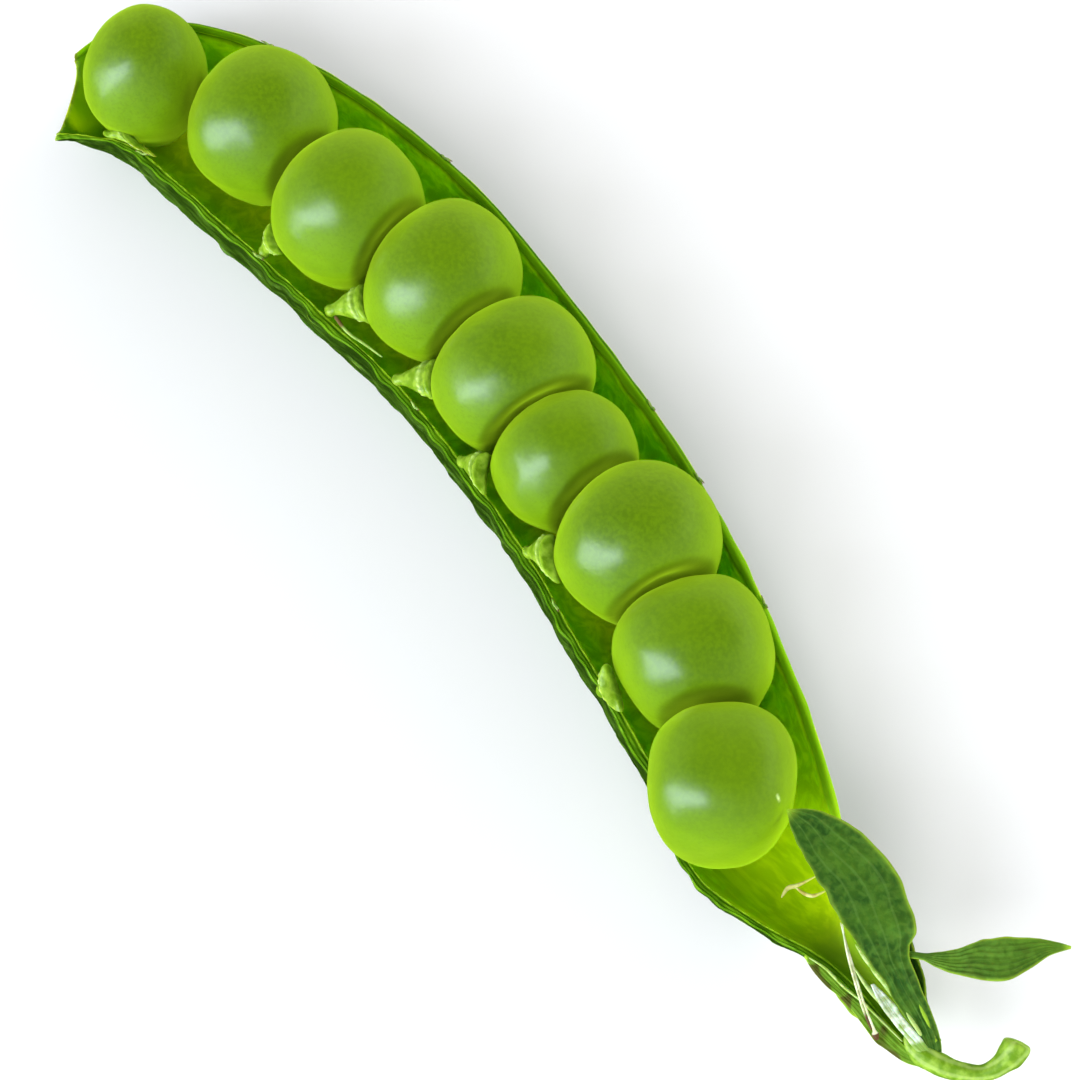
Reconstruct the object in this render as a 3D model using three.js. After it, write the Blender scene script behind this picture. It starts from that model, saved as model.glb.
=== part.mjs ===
// An opened pea pod: nine peas in the back half of the shell, with calyx and stalk.
// Millimetres, +Z up. The pod lies along X with its blunt tip at -X and its stalk at +X.
// The origin is on the surface it lies on, below the middle of the pod.
import * as THREE from 'three';
import { mergeVertices } from 'three/addons/utils/BufferGeometryUtils.js';

// ---- driving dimensions ----
const PLAN_CENTRE = [0.2, 0]; // middle of the pod's box, as X and Y in the tables below
const SHELL_WALL = 0.6; // thickness of the shell
const WALL_SHARE = 0.42; // largest share of the shell's half width that its wall takes
const SHELL_STEPS = 50; // sections along the shell
const SECTION_STEPS = 11; // faces across the shell, one for each stretch of its section
const PEA_DETAIL = 3; // subdivision of each pea
const PEA_REACH = [0.5, 8]; // nearest and farthest that a pea's surface can be from its centre
const PEA_PASSES = 24; // halvings of that reach that find the surface
const PEA_GAP = 0.15; // clearance left on the ball where two peas meet
const PEA_TAPER = 0.22; // how much narrower a pea is at its seat than at its middle
const PRESS_RADIUS = 7.5; // radius of the dent that a pea leaves in the one before it
const PRESS_FLAT = 0.1; // how far a pea's own round is flattened there
const PRESS_EDGE = 1.3; // rounding where the dent meets the round of the pea
const SEPAL_THICKNESS = 0.3;
const SEPAL_TIP = 0.1; // least half width of a sepal
const SHEATH_THICKNESS = 0.15;
const CUP_THICKNESS = 0.4;
const LEAF_FACES = [12, 4]; // faces along and across a sepal
const CUP_FACES = [8, 14]; // faces along and round a cup
const SPINE_STEP = 0.01; // share of a spine over which its direction is measured

// Plan and heights of the shell, from the blunt tip to the neck:
// near edge x, y; far edge x, y; underside z; top z of the near and the far edge.
const SHELL = [
  [-43.4, -7.2, -47.3, -3.0, 2.0, 3.7, 4.3],
  [-41.9, -6.0, -46.9, 0.0, 0.1, 4.1, 4.9],
  [-38.9, -5.0, -44.1, 3.9, 0.0, 4.6, 5.4],
  [-35.3, -4.8, -39.5, 6.8, 0.0, 5.0, 5.6],
  [-30.5, -4.5, -33.6, 9.0, 0.0, 5.2, 5.7],
  [-24.3, -4.0, -26.4, 10.3, 0.0, 5.2, 5.7],
  [-18.0, -3.6, -18.8, 10.7, 0.0, 5.2, 5.7],
  [-12.0, -3.3, -11.6, 10.1, 0.0, 5.2, 5.7],
  [-6.5, -3.6, -5.0, 9.3, 0.0, 5.1, 5.7],
  [-1.0, -4.2, 1.6, 8.3, 0.0, 5.0, 5.7],
  [4.6, -5.1, 8.0, 6.9, 0.0, 5.0, 5.7],
  [10.3, -6.4, 14.4, 5.0, 0.0, 4.9, 5.7],
  [15.7, -7.4, 20.0, 2.9, 0.0, 4.7, 5.7],
  [20.4, -9.1, 24.0, 1.2, 0.0, 3.8, 5.7],
  [23.2, -10.2, 27.0, -0.3, 0.0, 3.2, 5.7],
  [26.4, -10.4, 29.6, -1.8, 0.4, 4.5, 5.8],
  [30.6, -9.3, 32.4, -3.7, 1.3, 5.4, 5.9],
  [34.4, -8.1, 35.4, -5.6, 2.9, 5.7, 5.8],
  [37.5, -7.7, 37.8, -5.9, 3.5, 5.6, 5.6],
  [40.0, -7.8, 40.1, -6.3, 3.7, 5.3, 5.3],
  [41.9, -7.7, 41.9, -6.7, 4.0, 5.0, 5.0],
];

// Section of the shell from its near edge to its far edge:
// place across (-1 to 1) and height (0 underside, 1 edge).
const SECTION = [
  [-0.96, 1.0],
  [-0.99, 0.8],
  [-1.0, 0.58],
  [-0.92, 0.3],
  [-0.68, 0.09],
  [-0.3, 0.0],
  [0.3, 0.0],
  [0.68, 0.09],
  [0.92, 0.3],
  [1.0, 0.6],
  [1.0, 0.8],
  [1.0, 1.0],
];

// Peas from the tip to the stalk: centre x, y, z; half size along, across and upright;
// heading in degrees from +X.
const PEAS = [
  [-41.4, -0.7, 6.3, 4.15, 4.6, 5.2, 21],
  [-32.6, 2.3, 6.7, 5.0, 5.35, 5.7, 17],
  [-23.4, 2.5, 6.9, 4.9, 5.5, 5.9, 18],
  [-15.1, 3.6, 6.8, 4.95, 5.65, 5.8, 14],
  [-6.7, 2.7, 6.6, 4.8, 5.45, 5.6, -3],
  [0.1, 1.3, 6.2, 4.3, 4.8, 5.2, -12],
  [7.9, 0.7, 6.85, 5.05, 5.4, 5.85, 5],
  [15.7, -1.5, 6.5, 4.9, 5.0, 5.5, -21],
  [23.1, -5.85, 6.95, 4.9, 4.5, 5.4, -45],
];

// Stalks of the peas, by pea number, from the near edge of the shell to the pea:
// x, y, z, half width along the pod, half height.
const FUNICLES = {
  1: [[-36.8, -4.1, 5.4, 0.3, 0.2], [-37.8, -4.8, 5.4, 0.5, 0.2], [-38.8, -5.4, 5.4, 0.5, 0.2]],
  3: [[-26.5, -2.7, 4.4, 0.3, 0.3], [-26.2, -2.5, 4.7, 0.5, 0.35], [-25.8, -2.3, 5.0, 0.7, 0.4]],
  4: [[-19.6, -2.4, 4.4, 0.3, 0.3], [-19.1, -1.9, 4.9, 0.7, 0.4], [-18.6, -1.4, 5.3, 1.0, 0.45]],
  5: [[-12.2, -2.0, 4.4, 0.3, 0.3], [-11.6, -1.6, 4.9, 0.7, 0.4], [-11.0, -1.2, 5.3, 1.0, 0.45]],
  6: [[-4.7, -2.2, 4.8, 0.3, 0.3], [-4.1, -2.1, 5.0, 0.6, 0.35], [-3.6, -2.1, 5.2, 0.7, 0.4]],
  7: [[3.3, -3.5, 4.6, 0.3, 0.3], [3.9, -3.3, 4.9, 0.6, 0.35], [4.4, -3.1, 5.2, 0.8, 0.4]],
  8: [[12.9, -6.9, 5.4, 0.2, 0.2], [13.9, -7.2, 5.5, 0.35, 0.25], [14.9, -7.4, 5.6, 0.3, 0.25]],
};

// Sepals from base to tip: x, y, z, half width. Each faces the way that FACING gives.
const SEPALS = {
  sepal_upper: [
    [38.5, -5.6, 6.7, 0.9],
    [37.6, -5.35, 7.2, 1.2],
    [36.3, -5.05, 7.7, 1.7],
    [34.9, -4.85, 8.2, 2.0],
    [33.3, -4.75, 8.7, 2.1],
    [31.4, -4.6, 9.1, 1.8],
    [29.5, -4.5, 9.3, 1.2],
    [27.9, -4.6, 9.3, 0.15],
  ],
  sepal_right: [
    [39.4, -5.1, 6.25, 0.3],
    [40.0, -4.5, 7.0, 0.3],
    [40.7, -3.8, 7.7, 0.45],
    [41.5, -3.0, 8.4, 0.95],
    [42.5, -1.9, 9.0, 1.2],
    [43.5, -0.5, 9.4, 0.95],
    [44.7, 1.7, 9.6, 0.1],
  ],
  sepal_left: [
    [42.2, -8.65, 4.3, 0.5],
    [40.6, -8.6, 3.9, 0.95],
    [38.6, -8.55, 3.8, 1.1],
    [36.4, -8.6, 3.8, 0.85],
    [34.2, -8.8, 3.9, 0.1],
  ],
  sepal_under: [
    [41.0, -7.0, 2.4, 0.9],
    [38.8, -6.8, 1.85, 1.4],
    [36.4, -6.7, 1.2, 1.3],
    [34.0, -6.6, 0.6, 0.1],
  ],
  sepal_back: [
    [39.4, -4.4, 4.4, 0.9],
    [37.4, -3.7, 4.3, 1.3],
    [35.4, -3.0, 4.1, 1.2],
    [33.4, -2.0, 3.8, 0.1],
  ],
};
const FACING = {
  sepal_upper: [0.15, -0.1, 1.0],
  sepal_right: [0.35, -0.35, 0.9],
  sepal_left: [-0.05, -1.0, 0.0],
  sepal_under: [0.0, 0.0, -1.0],
  sepal_back: [0.3, 1.0, 0.1],
};
const SEPAL_CUPPING = 0.12; // rise of a sepal's borders over its midrib, by its half width

// Cup of the calyx from its mouth to the stalk: x, y, z of its axis, outer radius.
const CUP = [
  [37.4, -6.8, 4.6, 2.1],
  [39.2, -6.9, 4.6, 2.0],
  [41.0, -7.1, 4.6, 1.65],
  [42.4, -7.25, 4.5, 1.25],
  [43.2, -7.3, 4.5, 1.0],
];
const CUP_ARC = [55, -120]; // degrees round the axis: 0 far side, 90 up; split on top

// Papery sleeve on the neck: same columns as the cup.
const SHEATH = [
  [39.0, -7.05, 4.65, 1.5],
  [40.5, -7.15, 4.65, 1.3],
  [42.0, -7.25, 4.6, 1.05],
];
const SHEATH_ARC = [150, 75]; // on top of the neck

// Round and flat stalks: x, y, z, half width, half height.
const PEDICEL = [
  [43.8, -7.3, 4.4, 0.85, 0.85],
  [44.6, -7.05, 4.35, 0.8, 0.8],
  [45.5, -6.4, 4.4, 0.75, 0.75],
  [46.2, -5.6, 4.6, 0.8, 0.8],
  [46.6, -4.7, 4.8, 0.9, 0.9],
  [46.6, -3.9, 5.1, 1.1, 1.1],
  [46.45, -3.3, 5.3, 1.15, 1.15],
];
const FILAMENT = [
  [40.5, -9.4, 4.8, 0.3, 0.3],
  [38.9, -9.0, 6.5, 0.2, 0.2],
  [36.5, -7.7, 7.2, 0.25, 0.25],
  [34.7, -6.9, 7.6, 0.1, 0.1],
];
const THREAD = [
  [30.0, -6.8, 2.7, 0.15, 0.15],
  [29.9, -5.4, 2.7, 0.12, 0.12],
  [30.8, -5.2, 2.8, 0.12, 0.12],
  [31.3, -4.6, 3.1, 0.1, 0.1],
];

// ---- finishes ----
const GREEN = {
  shell: new THREE.MeshStandardMaterial({ color: 0x5c9a1e, roughness: 0.45 }),
  pea: new THREE.MeshStandardMaterial({ color: 0x8cb81e, roughness: 0.3 }),
  sepal: new THREE.MeshStandardMaterial({ color: 0x3f7a2c, roughness: 0.6 }),
  stalk: new THREE.MeshStandardMaterial({ color: 0x86b53a, roughness: 0.5 }),
};
const DRY = new THREE.MeshStandardMaterial({ color: 0xd9d6b4, roughness: 0.8 });

// ---- helpers ----
const mix = (a, b, t) => a + (b - a) * t;
const radians = THREE.MathUtils.degToRad;

// Smooth curve (Catmull-Rom) through rows of numbers, at t from 0 to 1.
function along(rows, t) {
  const last = rows.length - 1;
  const s = t * last;
  const i = Math.min(Math.floor(s), last - 1);
  const u = s - i;
  const row = (k) => rows[Math.min(Math.max(k, 0), last)];
  const [p, q, r, w] = [row(i - 1), row(i), row(i + 1), row(i + 2)];
  return q.map((value, k) => {
    const slope = (r[k] - p[k]) * u;
    const bend = (2 * p[k] - 5 * value + 4 * r[k] - w[k]) * u * u;
    const twist = (3 * value - p[k] - 3 * r[k] + w[k]) * u * u * u;
    return value + 0.5 * (slope + bend + twist);
  });
}

function grid(rows, columns, point) {
  return Array.from({ length: rows + 1 }, (_, r) =>
    Array.from({ length: columns + 1 }, (_, c) => point(r / rows, c / columns)),
  );
}

function fromTriangles(points, index) {
  const geometry = new THREE.BufferGeometry();
  geometry.setAttribute('position', new THREE.Float32BufferAttribute(points.flat(), 3));
  geometry.setIndex(index);
  return geometry;
}

// Turns a closed geometry's faces outwards, whichever way they were wound.
function facingOut(geometry) {
  const position = geometry.getAttribute('position');
  const index = geometry.getIndex();
  const [a, b, c] = [new THREE.Vector3(), new THREE.Vector3(), new THREE.Vector3()];
  let volume = 0;
  for (let i = 0; i < index.count; i += 3) {
    a.fromBufferAttribute(position, index.getX(i));
    b.fromBufferAttribute(position, index.getX(i + 1));
    c.fromBufferAttribute(position, index.getX(i + 2));
    volume += a.dot(b.cross(c));
  }
  if (volume < 0) {
    index.array.reverse();
  }
  return geometry;
}

// Closed body between two grids of points of the same size.
function between(front, back) {
  const rows = front.length - 1;
  const columns = front[0].length - 1;
  const size = (rows + 1) * (columns + 1);
  const f = (r, c) => r * (columns + 1) + c;
  const b = (r, c) => size + f(r, c);
  const index = [];
  const quad = (p, q, r, s) => index.push(p, q, r, p, r, s);
  for (let r = 0; r < rows; r += 1) {
    for (let c = 0; c < columns; c += 1) {
      quad(f(r, c), f(r + 1, c), f(r + 1, c + 1), f(r, c + 1));
      quad(b(r, c), b(r, c + 1), b(r + 1, c + 1), b(r + 1, c));
    }
    quad(f(r + 1, 0), f(r, 0), b(r, 0), b(r + 1, 0));
    quad(f(r, columns), f(r + 1, columns), b(r + 1, columns), b(r, columns));
  }
  for (let c = 0; c < columns; c += 1) {
    quad(f(0, c), f(0, c + 1), b(0, c + 1), b(0, c));
    quad(f(rows, c + 1), f(rows, c), b(rows, c), b(rows, c + 1));
  }
  return facingOut(fromTriangles([...front.flat(), ...back.flat()], index));
}

// ---- shell ----
function shellPoint(t, s, inside) {
  const [nearX, nearY, farX, farY, underside, nearTop, farTop] = along(SHELL, t);
  const [across, height] = along(SECTION, s);
  const half = Math.hypot(farX - nearX, farY - nearY) / 2;
  const wall = Math.min(SHELL_WALL, WALL_SHARE * half);
  const reach = inside ? across * (1 - wall / half) : across;
  const top = mix(nearTop, farTop, (across + 1) / 2);
  const low = Math.max(underside, 0);
  const base = inside ? low + wall : low;
  return [
    mix(nearX, farX, (reach + 1) / 2),
    mix(nearY, farY, (reach + 1) / 2),
    mix(base, top, Math.max(height, 0)),
  ];
}

function shellGeometry() {
  const outside = grid(SHELL_STEPS, SECTION_STEPS, (t, s) => shellPoint(t, s, false));
  const inside = grid(SHELL_STEPS, SECTION_STEPS, (t, s) => shellPoint(t, s, true));
  return between(outside, inside);
}

// ---- peas ----
function smoothMax(a, b) {
  const overlap = Math.max(PRESS_EDGE - Math.abs(a - b), 0) / PRESS_EDGE;
  return Math.max(a, b) + (overlap * overlap * PRESS_EDGE) / 4;
}

const peaCentre = (pea) => new THREE.Vector3(pea[0], pea[1], pea[2]);

// The ball on which a pea meets the one before it: it rounds the pea and dents the other.
function pressBall(before, pea) {
  const toPea = peaCentre(pea).sub(peaCentre(before)).normalize();
  return peaCentre(pea).addScaledVector(toPea, PRESS_RADIUS - pea[3] + PRESS_FLAT);
}

function peaGeometry(number) {
  const pea = PEAS[number];
  const before = PEAS[number - 1];
  const after = PEAS[number + 1];
  const [, , , long, wide, tall, heading] = pea;
  const centre = peaCentre(pea);
  const toLocal = new THREE.Matrix4().makeRotationZ(-radians(heading));
  const ballBefore = before && pressBall(before, pea);
  const ballAfter = after && pressBall(pea, after);

  // Negative inside the pea, positive outside.
  const outside = (point) => {
    const p = point.clone().sub(centre).applyMatrix4(toLocal);
    const taper = 1 - (PEA_TAPER * Math.max(-p.z, 0)) / tall;
    let value = (Math.hypot(p.x / long, p.y / (wide * taper), p.z / tall) - 1) * long;
    if (ballBefore) {
      value = smoothMax(value, point.distanceTo(ballBefore) - PRESS_RADIUS + PEA_GAP / 2);
    }
    if (ballAfter) {
      value = smoothMax(value, PRESS_RADIUS + PEA_GAP / 2 - point.distanceTo(ballAfter));
    }
    return value;
  };

  const geometry = new THREE.IcosahedronGeometry(1, PEA_DETAIL);
  geometry.deleteAttribute('normal');
  geometry.deleteAttribute('uv');
  const round = mergeVertices(geometry, 1e-4);
  const position = round.getAttribute('position');
  const direction = new THREE.Vector3();
  for (let i = 0; i < position.count; i += 1) {
    direction.fromBufferAttribute(position, i).normalize();
    let [inner, outer] = PEA_REACH;
    for (let pass = 0; pass < PEA_PASSES; pass += 1) {
      const middle = (inner + outer) / 2;
      if (outside(centre.clone().addScaledVector(direction, middle)) < 0) {
        inner = middle;
      } else {
        outer = middle;
      }
    }
    const surface = direction.multiplyScalar(inner).add(centre);
    position.setXYZ(i, surface.x, surface.y, surface.z);
  }
  return facingOut(round);
}

// ---- leaves, cups and stalks ----
function leafGeometry(spine, facing, thickness) {
  const face = new THREE.Vector3(...facing).normalize();
  const point = (t, s, lift) => {
    const [x, y, z, half] = along(spine, t);
    const ahead = new THREE.Vector3(...along(spine, Math.min(t + SPINE_STEP, 1)));
    const behind = new THREE.Vector3(...along(spine, Math.max(t - SPINE_STEP, 0)));
    const run = ahead.sub(behind).normalize();
    const across = new THREE.Vector3().crossVectors(face, run).normalize();
    const upright = new THREE.Vector3().crossVectors(run, across);
    const place = 2 * s - 1;
    const width = Math.max(half, SEPAL_TIP);
    const rise = SEPAL_CUPPING * width * place * place + lift * thickness;
    return new THREE.Vector3(x, y, z)
      .addScaledVector(across, place * width)
      .addScaledVector(upright, rise)
      .toArray();
  };
  const front = grid(...LEAF_FACES, (t, s) => point(t, s, 0.5));
  const back = grid(...LEAF_FACES, (t, s) => point(t, s, -0.5));
  return between(front, back);
}

// Part of a round wall about an axis that runs mostly along X.
function cupGeometry(axis, [from, to], thickness) {
  const point = (t, s, inset) => {
    const [x, y, z, radius] = along(axis, t);
    const angle = radians(mix(from, to, s));
    const reach = radius - inset;
    return [x, y + reach * Math.cos(angle), z + reach * Math.sin(angle)];
  };
  const outside = grid(...CUP_FACES, (t, s) => point(t, s, 0));
  const inside = grid(...CUP_FACES, (t, s) => point(t, s, thickness));
  return between(outside, inside);
}

// Closed stalk along a spine that never runs straight up.
function stalkGeometry(spine, steps, sides) {
  const points = [];
  const index = [];
  for (let i = 0; i <= steps; i += 1) {
    const t = i / steps;
    const [x, y, z, width, height] = along(spine, t);
    const ahead = new THREE.Vector3(...along(spine, Math.min(t + SPINE_STEP, 1)));
    const behind = new THREE.Vector3(...along(spine, Math.max(t - SPINE_STEP, 0)));
    const run = ahead.sub(behind).normalize();
    const across = new THREE.Vector3().crossVectors(new THREE.Vector3(0, 0, 1), run).normalize();
    const upright = new THREE.Vector3().crossVectors(run, across);
    for (let k = 0; k < sides; k += 1) {
      const angle = (2 * Math.PI * k) / sides;
      const ring = new THREE.Vector3(x, y, z)
        .addScaledVector(across, width * Math.cos(angle))
        .addScaledVector(upright, height * Math.sin(angle));
      points.push(ring.toArray());
    }
  }
  for (let i = 0; i < steps; i += 1) {
    for (let k = 0; k < sides; k += 1) {
      const next = (k + 1) % sides;
      const [a, b] = [i * sides + k, i * sides + next];
      index.push(a, b, b + sides, a, b + sides, a + sides);
    }
  }
  for (let k = 1; k < sides - 1; k += 1) {
    const end = steps * sides;
    index.push(0, k + 1, k, end, end + k, end + k + 1);
  }
  return facingOut(fromTriangles(points, index));
}

// ---- assembly ----
const pod = new THREE.Group();
pod.position.set(-PLAN_CENTRE[0], -PLAN_CENTRE[1], 0);

function add(name, geometry, material) {
  const mesh = new THREE.Mesh(geometry, material);
  mesh.name = name;
  pod.add(mesh);
}

add('pod_valve', shellGeometry(), GREEN.shell);
PEAS.forEach((_, i) => add(`pea_${i + 1}`, peaGeometry(i), GREEN.pea));
for (const [number, spine] of Object.entries(FUNICLES)) {
  add(`funicle_${number}`, stalkGeometry(spine, 4, 8), GREEN.stalk);
}
add('calyx_cup', cupGeometry(CUP, CUP_ARC, CUP_THICKNESS), GREEN.sepal);
for (const [name, spine] of Object.entries(SEPALS)) {
  add(name, leafGeometry(spine, FACING[name], SEPAL_THICKNESS), GREEN.sepal);
}
add('pedicel', stalkGeometry(PEDICEL, 14, 10), GREEN.stalk);
add('stamen_sheath', cupGeometry(SHEATH, SHEATH_ARC, SHEATH_THICKNESS), DRY);
add('stamen_filament', stalkGeometry(FILAMENT, 8, 6), DRY);
add('dried_thread', stalkGeometry(THREAD, 8, 6), DRY);

export default pod;
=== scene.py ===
import math

import bmesh
import bpy
import numpy as np
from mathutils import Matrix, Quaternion, Vector


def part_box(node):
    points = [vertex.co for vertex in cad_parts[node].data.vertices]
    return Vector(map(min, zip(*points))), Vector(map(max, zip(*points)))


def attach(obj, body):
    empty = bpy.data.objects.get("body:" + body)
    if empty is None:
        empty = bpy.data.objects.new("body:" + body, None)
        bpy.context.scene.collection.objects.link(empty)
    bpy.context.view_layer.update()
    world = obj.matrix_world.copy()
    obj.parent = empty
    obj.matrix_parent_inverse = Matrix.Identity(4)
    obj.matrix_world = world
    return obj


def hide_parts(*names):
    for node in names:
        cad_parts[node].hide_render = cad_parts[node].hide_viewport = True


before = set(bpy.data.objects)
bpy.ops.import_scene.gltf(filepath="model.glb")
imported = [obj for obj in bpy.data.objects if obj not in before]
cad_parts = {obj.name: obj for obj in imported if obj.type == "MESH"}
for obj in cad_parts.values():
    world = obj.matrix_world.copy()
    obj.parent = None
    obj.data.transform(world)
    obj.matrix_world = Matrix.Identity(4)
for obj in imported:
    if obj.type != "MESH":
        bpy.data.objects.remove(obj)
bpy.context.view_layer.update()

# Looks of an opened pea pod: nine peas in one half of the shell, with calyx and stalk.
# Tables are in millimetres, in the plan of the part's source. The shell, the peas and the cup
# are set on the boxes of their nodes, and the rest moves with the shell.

MM = 0.001
UP = np.array([0.0, 0.0, 1.0])

# ---- shape tables, from the blunt tip to the stalk ----

# Shell: near edge x, y; far edge x, y; underside z; top z of the near and the far edge.
SHELL = [
    (-43.4, -7.2, -47.3, -3.0, 2.0, 3.7, 4.3),
    (-41.9, -6.0, -46.9, 0.0, 0.1, 4.1, 4.9),
    (-38.9, -5.0, -44.1, 3.9, 0.0, 4.6, 5.4),
    (-35.3, -4.8, -39.5, 6.8, 0.0, 5.0, 5.6),
    (-30.5, -4.5, -33.6, 9.0, 0.0, 5.2, 5.7),
    (-24.3, -4.0, -26.4, 10.3, 0.0, 5.2, 5.7),
    (-18.0, -3.6, -18.8, 10.7, 0.0, 5.2, 5.7),
    (-12.0, -3.3, -11.6, 10.1, 0.0, 5.2, 5.7),
    (-6.5, -3.6, -5.0, 9.3, 0.0, 5.1, 5.7),
    (-1.0, -4.2, 1.6, 8.3, 0.0, 5.0, 5.7),
    (4.6, -5.1, 8.0, 6.9, 0.0, 5.0, 5.7),
    (10.3, -6.4, 14.4, 5.0, 0.0, 4.9, 5.7),
    (15.7, -7.4, 20.0, 2.9, 0.0, 4.7, 5.7),
    (20.4, -8.4, 24.0, 1.2, 0.0, 3.8, 5.7),
    (23.2, -9.4, 27.0, -0.3, 0.0, 3.2, 5.7),
    (26.4, -9.8, 29.6, -1.8, 0.4, 4.5, 5.8),
    (30.6, -9.3, 32.4, -3.7, 1.3, 5.4, 5.9),
    (34.4, -8.1, 35.4, -5.6, 2.9, 5.7, 5.8),
    (37.5, -7.7, 37.8, -5.9, 3.5, 5.6, 5.6),
    (40.0, -7.8, 40.1, -6.3, 3.7, 5.3, 5.3),
    (41.9, -7.7, 41.9, -6.7, 4.0, 5.0, 5.0),
]
# Section of the shell from the near to the far edge: place across (-1 to 1), height (0 to 1).
SECTION = [
    (-1.0, 1.0), (-1.0, 0.8), (-0.975, 0.58), (-0.9, 0.3), (-0.68, 0.09), (-0.3, 0.0),
    (0.3, 0.0), (0.68, 0.09), (0.92, 0.3), (1.0, 0.6), (1.0, 0.8), (1.0, 1.0),
]
# The wall's thickness, and the greatest share of the shell's half width that it takes.
SHELL_WALL = 0.6
WALL_SHARE = 0.42

# Peas: centre x, y, z; half size along, across and upright; heading in degrees from +X;
# squareness of the outline (2 is an ellipse).
PEAS = [
    (-41.3, -1.15, 6.2, 4.1, 4.6, 5.7, 21, 2.05),
    (-32.6, 2.2, 6.7, 5.0, 5.3, 5.7, 17, 2.15),
    (-23.4, 2.35, 6.9, 4.95, 5.3, 6.1, 18, 2.1),
    (-15.1, 3.6, 6.8, 4.95, 5.65, 5.8, 14, 2.1),
    (-6.7, 2.7, 6.6, 4.8, 5.45, 5.6, -3, 2.2),
    (0.1, 1.3, 6.2, 4.3, 4.8, 5.2, -12, 2.1),
    (7.9, 0.7, 6.85, 5.05, 5.4, 5.85, 5, 2.15),
    (15.7, -1.5, 6.5, 4.9, 5.0, 5.5, -21, 2.25),
    (23.35, -6.05, 6.9, 4.9, 4.6, 5.25, -45, 2.4),
]
PEA_TAPER = 0.22
PEA_NET_LEVEL = 6
PEA_SHADE_STEP = 0.37
# Waves of a skin: height, wavelength, seed; and how far it starts below its outline.
PEA_LUMPS = [(0.06, 5.5, 100), (0.025, 2.4, 120)]
PEA_INSET = 0.06
# Where two peas meet, both are pressed against one ball: its radius, how far it cuts into
# the later pea, how softly the face starts, and its tilt in degrees.
PRESS_RADIUS, PRESS_FLAT, PRESS_EDGE, PRESS_TILT = 8.5, 0.1, 0.8, 1.0
PEA_GAP = 0.15
# A pale nick in the last pea's skin, from end to end.
NICK = [(27.05, -5.28, 10.45), (27.3, -5.24, 10.25)]

# Stalks of the peas: foot at the near rim, then upper end, middle and lower end of the collar
# that holds the pea, as x, y, z; and the collar's half height.
FUNICLES = {
    1: [(-40.0, -5.5, 5.0), (-39.4, -4.6, 5.7), (-38.0, -4.7, 5.5), (-36.9, -4.2, 5.4), 0.35],
    3: [(-25.6, -3.3, 5.0), (-25.9, -2.2, 6.4), (-25.2, -2.7, 6.2), (-24.0, -3.1, 6.0), 0.6],
    4: [(-19.2, -2.9, 5.1), (-18.4, -0.6, 6.6), (-17.5, -1.3, 6.4), (-16.2, -1.85, 6.1), 0.7],
    5: [(-12.3, -2.8, 5.0), (-10.9, -0.4, 6.6), (-10.2, -1.4, 6.4), (-9.2, -2.25, 6.1), 0.7],
    6: [(-4.9, -3.3, 5.0), (-3.6, -1.9, 6.3), (-3.1, -3.2, 6.1), (-1.8, -3.8, 5.9), 0.6],
    7: [(2.9, -4.3, 5.0), (3.75, -2.9, 6.6), (4.6, -3.95, 6.4), (6.25, -4.6, 6.1), 0.7],
    8: [(13.3, -6.9, 4.8), (13.1, -5.8, 6.4), (13.95, -6.9, 6.2), (15.8, -6.95, 5.9), 0.55],
}

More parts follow.
